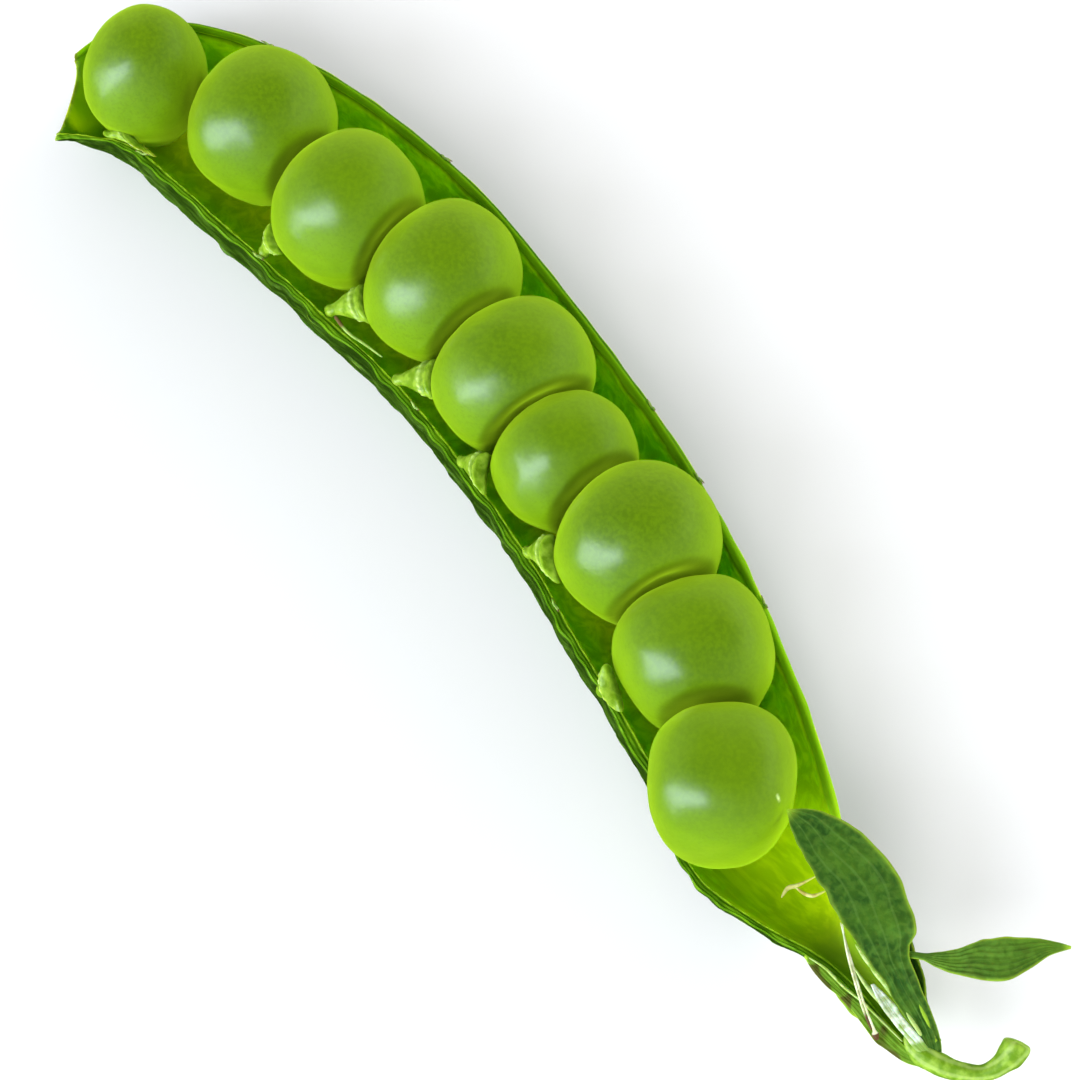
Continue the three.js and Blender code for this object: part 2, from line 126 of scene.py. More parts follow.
# Blades of the calyx from tip to base: x, y, z of the left and of the right edge.
BLADES = {
    "sepal_upper": [
        (27.8, -5.0, 9.3, 27.8, -4.9, 9.3), (29.1, -5.7, 9.3, 28.9, -3.7, 9.3),
        (30.6, -6.2, 9.2, 30.3, -3.0, 9.2), (32.4, -6.6, 9.0, 32.5, -2.5, 9.0),
        (34.1, -6.9, 8.6, 35.3, -2.7, 8.6), (35.6, -7.0, 8.1, 37.4, -3.5, 8.1),
        (36.7, -7.0, 7.5, 38.1, -4.2, 7.5), (37.7, -7.1, 7.1, 38.4, -4.8, 7.1),
        (38.8, -7.0, 6.6, 39.7, -5.3, 6.6), (40.4, -7.2, 5.8, 41.3, -5.7, 5.8),
        (42.1, -7.3, 5.2, 43.0, -6.3, 5.2), (43.1, -7.5, 4.9, 43.8, -6.8, 4.9),
    ],
    "sepal_right": [
        (44.8, 1.8, 9.6, 44.9, 1.7, 9.6), (43.7, 1.1, 9.5, 44.4, 0.4, 9.5),
        (42.9, 0.4, 9.4, 44.2, -1.3, 9.4), (41.8, -0.8, 9.2, 43.8, -2.6, 9.2),
        (41.0, -1.8, 8.8, 42.6, -3.5, 8.8), (40.6, -2.7, 8.3, 41.5, -4.1, 8.3),
        (39.8, -3.6, 7.7, 40.4, -4.4, 7.7), (39.2, -4.2, 7.3, 39.4, -4.6, 7.3),
        (38.4, -4.7, 6.9, 38.6, -5.1, 6.9),
    ],
    "sepal_left": [
        (34.3, -9.0, 5.2, 34.4, -9.1, 5.2), (35.1, -8.7, 5.0, 35.1, -9.2, 4.9),
        (36.4, -8.5, 4.8, 36.3, -9.2, 4.7), (37.3, -8.5, 4.6, 37.5, -9.0, 4.5),
        (38.6, -8.2, 4.6, 38.9, -9.0, 4.4), (39.9, -8.1, 4.5, 40.5, -9.2, 4.3),
        (41.3, -8.1, 4.5, 41.5, -9.0, 4.2), (42.5, -8.0, 4.5, 42.8, -8.6, 4.1),
        (43.4, -7.4, 4.4, 44.0, -7.8, 4.1),
    ],
    "sepal_under": [
        (34.0, -6.7, 0.7, 34.0, -6.6, 0.7), (36.4, -8.0, 1.3, 36.4, -5.4, 1.3),
        (38.8, -8.2, 1.9, 38.8, -5.4, 1.9), (41.0, -7.9, 2.4, 41.0, -6.1, 2.4),
        (42.6, -7.8, 3.2, 42.6, -6.6, 3.2),
    ],
    "sepal_back": [
        (33.4, -2.0, 3.8, 33.4, -2.0, 3.9), (35.4, -3.1, 3.0, 35.4, -2.9, 5.2),
        (37.4, -3.8, 3.0, 37.4, -3.6, 5.6), (39.4, -4.6, 3.5, 39.4, -4.5, 5.3),
        (41.2, -5.6, 3.9, 41.2, -5.6, 4.9),
    ],
    "stamen_sheath": [
        (38.3, -7.5, 5.9, 38.4, -7.3, 5.9), (39.5, -7.9, 5.8, 39.8, -7.2, 5.8),
        (40.7, -8.0, 5.6, 40.8, -7.3, 5.6), (41.7, -8.0, 5.4, 41.9, -7.3, 5.4),
        (42.5, -8.0, 5.2, 42.8, -7.3, 5.2), (43.3, -7.9, 5.0, 43.5, -7.3, 5.0),
    ],
}
# A blade's side that faces out; lime of its left margin, right margin and middle; how strong
# its brown spots are; veins.
BLADE_LOOKS = {
    "sepal_upper": ((0.15, -0.1, 1.0), 0.25, 0.6, 0.0, 0.06, 4),
    "sepal_right": ((0.35, -0.35, 0.9), 0.9, 0.5, 0.16, 0.15, 7),
    "sepal_left": ((0.0, -0.5, 0.8), 1.0, 0.8, 0.4, 0.8, 4),
    "sepal_under": ((0.0, 0.0, -1.0), 0.6, 0.6, 0.3, 0.2, 5),
    "sepal_back": ((0.3, 1.0, 0.1), 0.6, 0.6, 0.0, 0.2, 5),
    "stamen_sheath": ((0.0, -0.3, 1.0), 0.0, 0.0, 0.0, 0.3, 3),
}
BLADE_THICKNESS = 0.28
BLADE_CUPPING = 0.14
SHEATH_THICKNESS = 0.14

# Cup of the calyx and papery sleeve, from mouth to stalk: x, y, z of the axis, outer radius.
CUP = [
    (37.4, -6.8, 4.6, 2.1), (39.2, -6.9, 4.6, 2.0), (41.0, -7.1, 4.6, 1.65),
    (42.4, -7.25, 4.5, 1.25), (43.2, -7.3, 4.5, 1.0),
]
CUP_ARC = (55, -120)
CUP_THICKNESS = 0.4
CUP_LIME = 0.35

STRAND_ROUGHNESS = 0.05
# Strands, each by rows of x, y, z, half width, half height.
PEDICEL = [
    [
        (41.6, -7.5, 4.6, 0.35, 0.35), (42.8, -7.7, 4.55, 0.68, 0.62),
        (44.1, -7.3, 4.4, 0.66, 0.66), (45.3, -6.6, 4.4, 0.58, 0.58),
        (46.2, -5.8, 4.6, 0.52, 0.52), (46.6, -4.8, 5.0, 0.62, 0.62),
        (46.6, -3.9, 5.5, 0.82, 0.82), (46.35, -3.3, 5.9, 0.88, 0.88),
    ]
]
FILAMENT = [
    [
        (34.7, -6.8, 7.7, 0.03, 0.03), (36.1, -7.5, 7.4, 0.07, 0.06),
        (38.8, -8.65, 6.4, 0.07, 0.06), (40.3, -9.1, 5.6, 0.08, 0.08),
        (40.6, -9.2, 5.4, 0.2, 0.18), (40.9, -9.3, 5.2, 0.1, 0.1),
    ],
    [
        (34.8, -6.75, 7.7, 0.03, 0.03), (36.3, -7.7, 7.4, 0.07, 0.07),
        (38.9, -8.85, 6.3, 0.07, 0.07), (40.3, -9.2, 5.5, 0.08, 0.08),
    ],
]
# Pale lines along the neck: over the far rim, between the rims, and along the left sepal.
NECK_LINES = [
    [
        (35.9, -6.55, 6.1, 0.05, 0.05), (37.5, -6.75, 6.1, 0.16, 0.12),
        (38.9, -6.85, 6.0, 0.17, 0.12), (40.4, -6.95, 5.8, 0.16, 0.12),
        (42.4, -7.2, 5.4, 0.1, 0.1),
    ],
    [
        (36.8, -7.5, 5.9, 0.04, 0.04), (38.2, -7.7, 5.8, 0.12, 0.09),
        (39.6, -7.75, 5.7, 0.13, 0.1), (41.2, -7.85, 5.5, 0.12, 0.1),
        (42.6, -7.75, 5.2, 0.08, 0.08),
    ],
    [
        (34.6, -9.0, 5.45, 0.03, 0.03), (35.8, -8.7, 5.45, 0.08, 0.06),
        (37.2, -8.65, 5.4, 0.07, 0.06), (38.6, -8.4, 5.3, 0.08, 0.06),
        (40.0, -8.3, 5.2, 0.07, 0.06), (41.9, -8.2, 5.1, 0.05, 0.05),
    ],
]
# Places of the fibre tufts along the far and the near rim, as shares of the shell's length.
FAR_TUFTS = [0.16, 0.27, 0.44, 0.485, 0.56]
NEAR_TUFTS = [0.105, 0.125, 0.24, 0.37, 0.52]
# The turns of a tuft's fibres from the rim's direction, in degrees.
TUFT_TURNS = (4, 16, 176)
# A strand from the stalk of the fourth pea along the near rim.
STALK_STRAND = [
    (-13.9, -2.45, 5.6, 0.06, 0.05), (-15.4, -2.75, 5.7, 0.1, 0.08),
    (-16.9, -3.0, 5.6, 0.11, 0.08), (-18.5, -2.8, 5.4, 0.14, 0.1),
]
THREAD = [
    [
        (30.1, -6.9, 2.9, 0.05, 0.05), (29.9, -6.2, 2.9, 0.14, 0.1),
        (30.1, -5.7, 2.9, 0.13, 0.1), (30.3, -5.1, 3.0, 0.08, 0.07),
        (30.5, -4.4, 3.2, 0.04, 0.04),
    ],
    [
        (30.1, -5.8, 2.9, 0.05, 0.05), (30.8, -5.7, 3.0, 0.12, 0.09),
        (31.3, -5.4, 3.1, 0.12, 0.09), (31.6, -4.7, 3.3, 0.05, 0.05),
    ],
]


# ---- curves, noise and meshes ----
def along(rows, t):
    """Smooth curve (Catmull-Rom) through rows of numbers, at each t from 0 to 1."""
    rows = np.asarray(rows, float)
    last = len(rows) - 1
    s = np.clip(np.asarray(t, float), 0, 1) * last
    i = np.minimum(s.astype(int), last - 1)
    u = (s - i)[..., None]
    p, q, r, w = (rows[np.clip(i + k, 0, last)] for k in (-1, 0, 1, 2))
    slope = (r - p) * u
    bend = (2 * p - 5 * q + 4 * r - w) * u**2
    twist = (3 * q - p - 3 * r + w) * u**3
    return q + 0.5 * (slope + bend + twist)


def mix(a, b, t):
    """From a where t is 0 to b where t is 1."""
    return a + (b - a) * t


def smooth(low, high, x):
    """0 below low, 1 above high, and a smooth step between."""
    t = np.clip((x - low) / (high - low), 0, 1)
    return t * t * (3 - 2 * t)


def bump(x, centre, width):
    """A bell of height 1."""
    return np.exp(-(((x - centre) / width) ** 2))


def noise(points, wavelength, seed, waves=12):
    """Smooth seeded noise of about -1 to 1, of points in the last axis."""
    points = np.asarray(points, float)
    rng = np.random.default_rng(seed)
    ways = rng.normal(size=(waves, points.shape[-1]))
    ways /= np.linalg.norm(ways, axis=1, keepdims=True)
    ways *= 2 * math.pi / wavelength * rng.uniform(0.6, 1.5, (waves, 1))
    phases = rng.uniform(0, 2 * math.pi, waves)
    return np.sin(points @ ways.T + phases).sum(-1) * math.sqrt(2 / waves) / 1.6


def sway(x, wavelength, seed):
    """Smooth seeded noise along one length."""
    return noise(np.asarray(x, float)[..., None], wavelength, seed)


def unit(v):
    """Vectors in the last axis, scaled to length 1."""
    return v / np.maximum(np.linalg.norm(v, axis=-1, keepdims=True), 1e-9)


def shift_onto(node, points):
    """What moves points of the tables' plan onto the box of their node."""
    low, high = (np.array(corner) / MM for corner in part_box(node))
    flat = points.reshape(-1, 3)
    return (low + high) / 2 - (flat.min(0) + flat.max(0)) / 2


def plan_shift():
    """From the tables' plan to the frame, as the shell's node shows it."""
    return shell_rings()[1]


def add_piece(name, points, faces, material, node, fields):
    """A mesh piece in place of its node; fields are numbers at its points."""
    mesh = bpy.data.meshes.new(name)
    mesh.from_pydata((np.asarray(points) * MM).tolist(), [], faces)
    mesh.update()
    for field, values in fields.items():
        attribute = mesh.attributes.new(field, "FLOAT", "POINT")
        attribute.data.foreach_set("value", np.asarray(values, np.float32).ravel())
    mesh.shade_smooth()
    mesh.materials.append(material)
    piece = bpy.data.objects.new(name, mesh)
    bpy.context.scene.collection.objects.link(piece)
    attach(piece, "root")
    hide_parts(node)


def ring_normals(rings):
    """Outward normals of closed rings that follow one another."""
    round_ = np.roll(rings, -1, axis=1) - np.roll(rings, 1, axis=1)
    ahead = np.gradient(rings, axis=0)
    return unit(np.cross(round_, ahead))


def tube_faces(rows, count, caps=True):
    """Quads between closed rings, with fans over both ends if caps are asked for."""
    faces = []
    for r in range(rows - 1):
        for c in range(count):
            a, b = r * count + c, r * count + (c + 1) % count
            faces.append((a, b, b + count, a + count))
    if caps:
        first, last = rows * count, rows * count + 1
        end = (rows - 1) * count
        for c in range(count):
            n = (c + 1) % count
            faces.append((first, n, c))
            faces.append((last, end + c, end + n))
    return faces


def with_caps(rings):
    """Points of closed rings, followed by the middle of the first and of the last ring."""
    return np.vstack([rings.reshape(-1, 3), rings[0].mean(0), rings[-1].mean(0)])


def capped_fields(fields):
    """Fields of closed rings, with the values at both end caps."""
    return {key: np.append(v, [v.flat[0], v.flat[-1]]) for key, v in fields.items()}


# ---- shell ----
SHELL_ROWS = 560
WALL_COLUMNS = 64
RIM_COLUMNS = 20
INNER_START = WALL_COLUMNS + RIM_COLUMNS
NEAR_START = INNER_START + WALL_COLUMNS
RING_COLUMNS = NEAR_START + RIM_COLUMNS
# Cords down the outside of the near edge: depth below the edge, width, height, seed.
CORDS = [(0.4, 0.2, 0.10, 11), (1.2, 0.3, 0.13, 12), (2.3, 0.45, 0.12, 13)]
BAND_DEPTH = 3.0
FAR_RIM_RISE = 0.18
GROOVE_DEPTH = 0.14
# The near edge stands EDGE_OUT outside its row. At both ends it flares outwards and drops
# further, and the wall thins at the tip.
EDGE_OUT = 0.12
FLARE_OUT, TIP_DROP, STEM_DROP, TIP_WALL = 0.35, 0.6, 1.4, 0.3


def shell_sheet(t, s, inside):
    """Points of the shell's outer or inner face, as in the part's source."""
    near_x, near_y, far_x, far_y, under, near_top, far_top = np.moveaxis(along(SHELL, t), -1, 0)
    across, height = np.moveaxis(along(SECTION, s), -1, 0)
    tip, stem = smooth(0.14, 0.04, t), smooth(0.66, 0.76, t)
    flare = tip + stem
    near_y = near_y - EDGE_OUT - FLARE_OUT * flare
    near_top = near_top - TIP_DROP * tip - STEM_DROP * stem * (1 - 0.6 * smooth(0.85, 1, t))
    lean = 0.04 - 0.28 * np.clip(1 - height, 0, 1)
    across = np.where(across < 0, across * (1 + flare * lean), across)
    half = np.hypot(far_x - near_x, far_y - near_y) / 2
    wall = np.minimum(mix(SHELL_WALL, TIP_WALL, tip), WALL_SHARE * half)
    reach = across * (1 - wall / half) if inside else across
    top = mix(near_top, far_top, (across + 1) / 2)
    base = np.maximum(under, 0) + (wall if inside else 0)
    place = (reach + 1) / 2
    x, y = mix(near_x, far_x, place), mix(near_y, far_y, place)
    return np.stack([x, y, mix(base, top, np.maximum(height, 0))], -1)


def shell_rings():
    """Closed rings (outer face, far rim, inner face, near rim) and what sets them on the node."""
    t = np.linspace(0, 1, SHELL_ROWS)[:, None]
    s = np.linspace(0, 1, WALL_COLUMNS)[None, :]
    t, s = np.broadcast_arrays(t, s)
    outer, inner = shell_sheet(t, s, False), shell_sheet(t, s, True)
    f = np.linspace(0, 1, RIM_COLUMNS + 2)[1:-1][None, :, None]
    far = mix(outer[:, -1:], inner[:, -1:], f)
    far = far + UP * FAR_RIM_RISE * np.sin(math.pi * f)
    near = mix(inner[:, :1], outer[:, :1], f)
    rings = np.concatenate([outer, far, inner[:, ::-1], near], axis=1)
    return rings, shift_onto("pod_valve", np.stack([outer, inner]))


def shell_places(rings):
    """Where each point lies on the shell: masks and distances in millimetres."""
    column = np.broadcast_to(np.arange(RING_COLUMNS), rings.shape[:2])
    lengths = np.linalg.norm(np.diff(rings, axis=1), axis=-1)
    run = np.concatenate([np.zeros((SHELL_ROWS, 1)), np.cumsum(lengths, 1)], 1)
    far_edge, inner_edge = run[:, WALL_COLUMNS - 1 :][:, :1], run[:, INNER_START:][:, :1]
    t = np.broadcast_to(np.linspace(0, 1, SHELL_ROWS)[:, None], rings.shape[:2])
    return {
        "x": rings[..., 0],
        "t": t,
        "neck": smooth(0.8, 0.93, t),
        "outer": column < WALL_COLUMNS,
        "far": (column >= WALL_COLUMNS) & (column < INNER_START),
        "inner": (column >= INNER_START) & (column < NEAR_START),
        "near": column >= NEAR_START,
        "near_rim": np.clip((column - NEAR_START + 1) / (RIM_COLUMNS + 1), 0, 1),
        "far_rim": np.clip((column - WALL_COLUMNS + 1) / (RIM_COLUMNS + 1), 0, 1),
        "below_near": run,
        "below_far": far_edge - run,
        "from_far": run - inner_edge,
    }


def near_edge_relief(place):
    """Rise of the near rim (lip, strip, groove) and swell of the cords on the wall below it."""
    x, rim, free = place["x"], place["near_rim"], 1 - 0.75 * place["neck"]
    fray = 1 + 0.35 * sway(x, 1.7, 21) + 0.3 * sway(x, 0.8, 22)
    lip = bump(rim, 0.12, 0.1)
    rise = 0.2 * lip * fray + 0.12 * bump(rim, 0.5, 0.2) * (1 + 0.3 * sway(x, 2.1, 23))
    rise = rise + 0.16 * bump(rim, 0.85, 0.1) * (1 + 0.4 * sway(x, 3.3, 24))
    rise *= free * np.sin(math.pi * rim) ** 0.35
    cords = np.zeros_like(x)
    for depth, width, height, seed in CORDS:
        drift = depth + 0.12 * sway(x, 9.0, seed)
        strength = 0.8 + 0.45 * sway(x, 5.0, seed + 40)
        strength = strength * (0.65 + 0.45 * smooth(-0.6, 0.5, sway(x, 2.0, seed + 60)))
        cords += height * bump(place["below_near"], drift, width) * strength
    return rise, lip, cords * free


def shell_relief(rings, place, cords, groove):
    """How far each point of the two faces stands out: cords, unevenness and groove."""
    skin = smooth(0, 2.5, place["below_near"])
    lift = np.where(place["outer"], cords, 0.0)
    lift += place["outer"] * 0.05 * noise(rings, 4.0, 32) * skin
    within = 0.06 * noise(rings, 3.2, 31) - GROOVE_DEPTH * groove
    lift += place["inner"] * within * (1 - place["neck"])
    return lift * np.where(place["outer"], smooth(0.0, 0.5, rings[..., 2]), 1.0)


def waved(rings, place):
    """The near edge's outline waves outwards, most at the top, and nothing sinks in the floor."""
    x = place["x"]
    wave = 0.15 * sway(x, 7.5, 3) + 0.08 * sway(x, 2.6, 4)
    hold = place["near"] * place["near_rim"]
    hold = hold + place["outer"] * smooth(BAND_DEPTH, 0, place["below_near"])
    side = unit((rings[:, :1] - rings[:, WALL_COLUMNS - 1 :][:, :1]) * np.array([1, 1, 0]))
    rings = rings + (wave * hold * (1 - place["neck"]))[..., None] * side
    rings[..., 2] = np.maximum(rings[..., 2], 0.0)
    return rings


def shell_fields(place, lip, cords, groove):
    """Masks that the shell's paint reads."""
    rim, far, near, outer = place["near_rim"], place["far_rim"], place["near"], place["outer"]
    inside = place["inner"] + near * smooth(0.2, 0.0, rim) + place["far"] * smooth(0.7, 1, far)
    far_rim = place["far"] * np.maximum(smooth(0.2, 0.5, far), smooth(0.4, 0.6, place["t"]))
    far_rim = far_rim + place["inner"] * smooth(0.25, 0.05, place["from_far"])
    far_rim = far_rim + outer * smooth(0.4, 0.0, place["below_far"])
    return {
        "inside": inside,
        "lip": near * np.clip(lip * 1.2, 0, 1),
        "strip": near * smooth(0.1, 0.25, rim),
        "streak": near * bump(rim, 0.86, 0.07) + outer * np.clip(cords / 0.16, 0, 1),
        # The band below the near edge, which the paint darkens partly as painted shade.
        "band": outer * smooth(BAND_DEPTH, 1.8, place["below_near"]),
        "far_rim": far_rim,
        # Painted shade in the groove just inside the far rim.
        "groove": place["inner"] * groove * (1 - place["neck"]),
        "along": place["t"],
        "tip": smooth(0.012, 0.0, place["t"]),
    }


def make_shell(material):
    """The half shell with its relief, on the box of its node."""
    rings, move = shell_rings()
    place = shell_places(rings)
    rise, lip, cords = near_edge_relief(place)
    groove = bump(place["from_far"], 0.5, 0.2)
    rings = rings + np.where(place["near"], rise, 0.0)[..., None] * UP
    rings = rings + ring_normals(rings) * shell_relief(rings, place, cords, groove)[..., None]
    points = (waved(rings, place) + move).reshape(-1, 3)
    fields = shell_fields(place, lip, cords, groove)
    faces = tube_faces(SHELL_ROWS, RING_COLUMNS, caps=False) + shell_ends()
    add_piece("pod_valve_skin", points, faces, material, "pod_valve", fields)


def shell_ends():
    """Faces over the crescent at each end of the shell."""
    faces = []
    base = (SHELL_ROWS - 1) * RING_COLUMNS
    pairs = [(k, NEAR_START - 1 - k) for k in range(WALL_COLUMNS)]
    for (a, b), (c, d) in zip(pairs, pairs[1:]):
        faces.append((a, b, d, c))
        faces.append((base + a, base + c, base + d, base + b))
    far_rim = range(WALL_COLUMNS - 1, INNER_START + 1)
    near_rim = (*range(NEAR_START - 1, RING_COLUMNS), 0)
    for loop in (far_rim, near_rim):
        faces.append(tuple(reversed(loop)))
        faces.append(tuple(base + k for k in loop))
    return faces


# ---- peas ----
def sphere_net():
    """Unit directions and triangles of a subdivided icosahedron."""
    net = bmesh.new()
    bmesh.ops.create_icosphere(net, subdivisions=PEA_NET_LEVEL, radius=1.0)
    ways = unit(np.array([v.co[:] for v in net.verts]))
    faces = [tuple(v.index for v in f.verts) for f in net.faces]
    net.free()
    return ways, faces


def smooth_max(a, b, edge):
    """The greater of a and b, rounded where they differ by less than edge."""
    overlap = np.maximum(edge - np.abs(a - b), 0) / edge
    return np.maximum(a, b) + overlap**2 * edge / 4


def press_ball(before, pea):
    """Middle of the ball on which a pea meets the one before it."""
    start, end = np.array(before[:3]), np.array(pea[:3])
    ahead = unit(end - start)
    tilt = math.radians(PRESS_TILT)
    lean = ahead * math.cos(tilt) + UP * math.sin(tilt)
    return end - ahead * (pea[3] - PRESS_FLAT) + lean * PRESS_RADIUS


def press_balls(number):
    """Balls that press pea `number`, each with the side on which the pea lies."""
    balls = []
    if number > 0:
        balls.append((press_ball(PEAS[number - 1], PEAS[number]), 1))
    if number < len(PEAS) - 1:
        balls.append((press_ball(PEAS[number], PEAS[number + 1]), -1))
    return balls


def press_depth(points, ball, side):
    """Distance past the face where a pea is pressed: 0 on it, less within the pea."""
    return side * (np.linalg.norm(points - ball, axis=1) - PRESS_RADIUS) + PEA_GAP / 2


def distance_out(number, points):
    """How far points lie outside a pea: a tapered superellipsoid with pressed faces."""
    centre = np.array(PEAS[number][:3])
    long, wide, tall, heading, square = PEAS[number][3:]
    turn = math.radians(heading)
    ahead = np.array([math.cos(turn), math.sin(turn), 0])
    left = np.array([-math.sin(turn), math.cos(turn), 0])
    p = points - centre
    taper = 1 - PEA_TAPER * np.maximum(-p[:, 2], 0) / tall
    x, y, z = p @ ahead / long, p @ left / (wide * taper), p[:, 2] / tall
    size = (np.abs(x) ** square + np.abs(y) ** square + np.abs(z) ** square) ** (1 / square)
    value = (size - 1) * long
    for ball, side in press_balls(number):
        value = smooth_max(value, press_depth(points, ball, side), PRESS_EDGE)
    return value


def pea_points(number, ways):
    """Points of a pea's skin, found along each direction by halving, with gentle lumps."""
    centre = np.array(PEAS[number][:3])
    nearest, farthest, steps = 0.5, 8.0, 22
    low, high = np.full(len(ways), nearest), np.full(len(ways), farthest)
    for _ in range(steps):
        middle = (low + high) / 2
        within = distance_out(number, centre + ways * middle[:, None]) < 0
        low, high = np.where(within, middle, low), np.where(within, high, middle)
    scale = 5
    lumps = sum(rise * noise(ways * scale, wave, seed + number) for rise, wave, seed in PEA_LUMPS)
    return centre + ways * (low - PEA_INSET + lumps)[:, None]


def near_line(points, start, end):
    """Distance of points from a short line."""
    start, end = np.array(start), np.array(end)
    run = end - start
    t = np.clip((points - start) @ run / (run @ run), 0, 1)
    return np.linalg.norm(points - start - t[:, None] * run, axis=1)


def make_peas(material):
    """The nine peas, moved together as pea 5's box says, with masks for their paint."""
    ways, faces = sphere_net()
    move = shift_onto("pea_5", pea_points(4, ways))
    for number in range(len(PEAS)):
        node = f"pea_{number + 1}"
        points = pea_points(number, ways)
        height = (points[:, 2] - PEAS[number][2]) / PEAS[number][5]
        pressed = np.max([press_depth(points, *ball) for ball in press_balls(number)], axis=0)
        fields = {
            "shade": np.full(len(points), number * PEA_SHADE_STEP % 1.0),
            "nick": smooth(0.17, 0.05, near_line(points, *NICK)),
            # Painted shade: the top of each pea is painted darker.
            "shaded_top": smooth(0.33, 0.95, height),
            # Painted shade where two peas meet.
            "pressed": smooth(-0.8, -0.25, pressed),
            # Painted shade on the underside of each pea.
            "under": smooth(0.3, -0.4, height),
        }
        add_piece(f"{node}_skin", points + move, faces, material, node, fields)


# ---- leaves, cups and stalks ----
def blade_sheet(name, facing, place, rows):
    """Middle surface of a blade with its normals, its half width, and the length along it."""
    data = along(BLADES[name], np.linspace(0, 1, rows))
    left, right = data[:, None, :3], data[:, None, 3:]
    seed = sum(map(ord, name))
    half = np.linalg.norm(right - left, axis=-1) / 2
    middle = (left + right) / 2
    length = np.linalg.norm(np.diff(middle[:, 0], axis=0), axis=-1).sum()
    run = unit(np.gradient(middle, axis=0))
    upright = unit(np.cross(run, right - left))
    upright = upright * np.sign((upright * np.array(facing)).sum(-1, keepdims=True))
    reach = np.linspace(0, 1, rows) * length
    waves = [sway(reach, 1.6, seed + side)[:, None] for side in (1, 2)]
    border = 1 + 0.03 * np.where(place < 0, *waves)
    sheet = middle + (right - left) / 2 * (place * border)[..., None]
    return sheet, upright, half, reach, seed


def make_blade(name, material, thickness=BLADE_THICKNESS, rows=150, columns=40):
    """A sepal or film between two edges: cupped, veined, with a thin wavy border."""
    facing, left_trim, right_trim, lime, brown, veins = BLADE_LOOKS[name]
    t = np.linspace(0, 1, rows)
    place = np.linspace(-1, 1, columns)
    sheet, upright, half, reach, seed = blade_sheet(name, facing, place, rows)
    bent = BLADE_CUPPING * half * place**2 * smooth(1.0, 0.75, t)[:, None]
    bent = bent + 0.09 * half * place**2 * sway(reach, 3.5, seed + 3)[:, None]
    drift = 0.5 * sway(reach, 4.0, seed + 4)[:, None]
    veined = np.cos(math.pi * veins * (place + 0.1 * drift))
    bent = bent + 0.03 * veined * np.minimum(half, 1)
    midrib = 0.09 * bump(place, 0, 0.08) * np.minimum(half, 1)
    thin = thickness * (1 - 0.7 * np.abs(place) ** 4) / 2
    top = sheet + upright * (bent - 0.5 * midrib + thin)[..., None]
    under = sheet + upright * (bent - thin - midrib)[..., None]
    top = top + upright * (0.02 * noise(top, 0.7, seed + 5))[..., None]
    rings = np.concatenate([top, under[:, ::-1]], axis=1)
    margin = np.where(place < 0, left_trim, right_trim) * smooth(0.86, 1.0, np.abs(place))
    margin = np.maximum(margin * np.ones((rows, 1)), smooth(0.07, 0.0, t)[:, None])
    spots = noise(sheet, 1.3, seed + 6) + 1.2 * np.abs(place) * (place > 0)
    fields = {
        "margin": margin,
        "lime": np.full_like(margin, lime),
        "brown": smooth(0.55, 1.3, spots) * brown,
        "rib": veined,
    }
    fields = {key: np.concatenate([v, v[:, ::-1]], axis=1) for key, v in fields.items()}
    fields["along"] = np.broadcast_to(t[:, None], rings.shape[:2])
    points = with_caps(rings) + plan_shift()
    faces = tube_faces(rows, 2 * columns)
    add_piece(f"{name}_blade", points, faces, material, name, capped_fields(fields))


def cup_sheet(inset, rows, columns):
    """One face of the cup, inset from its outer radius."""
    t, s = np.meshgrid(np.linspace(0, 1, rows), np.linspace(0, 1, columns), indexing="ij")
    x, y, z, radius = np.moveaxis(along(CUP, t), -1, 0)
    angle = np.radians(mix(*CUP_ARC, s))
    reach = radius - inset
    return np.stack([x, y + reach * np.cos(angle), z + reach * np.sin(angle)], -1)


def make_cup(material, rows=80, columns=90):
    """Cup of the calyx, open above the neck of the pod, with a ribbed wall and an uneven mouth."""
    outer = cup_sheet(0.0, rows, columns)
    inner = cup_sheet(CUP_THICKNESS, rows, columns)
    rings = np.concatenate([outer, inner[:, ::-1]], axis=1)
    move = shift_onto("calyx_cup", rings)
    t = np.broadcast_to(np.linspace(0, 1, rows)[:, None], rings.shape[:2])
    s = np.linspace(-1, 1, columns)
    across = np.broadcast_to(np.concatenate([s, s[::-1]]), rings.shape[:2])
    ribbed = np.cos(22 * across)
    ribs = 0.03 * ribbed + 0.05 * noise(rings, 1.6, 71)
    rings = rings + ring_normals(rings) * ribs[..., None]
    rings[..., 0] += 0.35 * sway(across * 5, 2.0, 72) * (1 - t) ** 2
    edge = np.maximum(smooth(0.92, 1.0, np.abs(across)), smooth(0.08, 0.0, t))
    fields = {
        "margin": 0.7 * edge,
        "lime": np.full_like(edge, CUP_LIME),
        "brown": np.zeros_like(edge),
        "rib": ribbed,
    }
    points = (rings + move).reshape(-1, 3)
    faces = tube_faces(rows, 2 * columns, caps=False) + cup_ends(rows, columns)
    add_piece("calyx_cup_skin", points, faces, material, "calyx_cup", fields)


def cup_ends(rows, columns):
    """Faces over the arc between the cup's two faces, at its mouth and at the stalk."""
    faces = []
    count = 2 * columns
    base = (rows - 1) * count
    for k in range(columns - 1):
        a, b, c, d = k, count - 1 - k, count - 2 - k, k + 1
        faces.append((a, b, c, d))
        faces.append((base + a, base + d, base + c, base + b))
    return faces


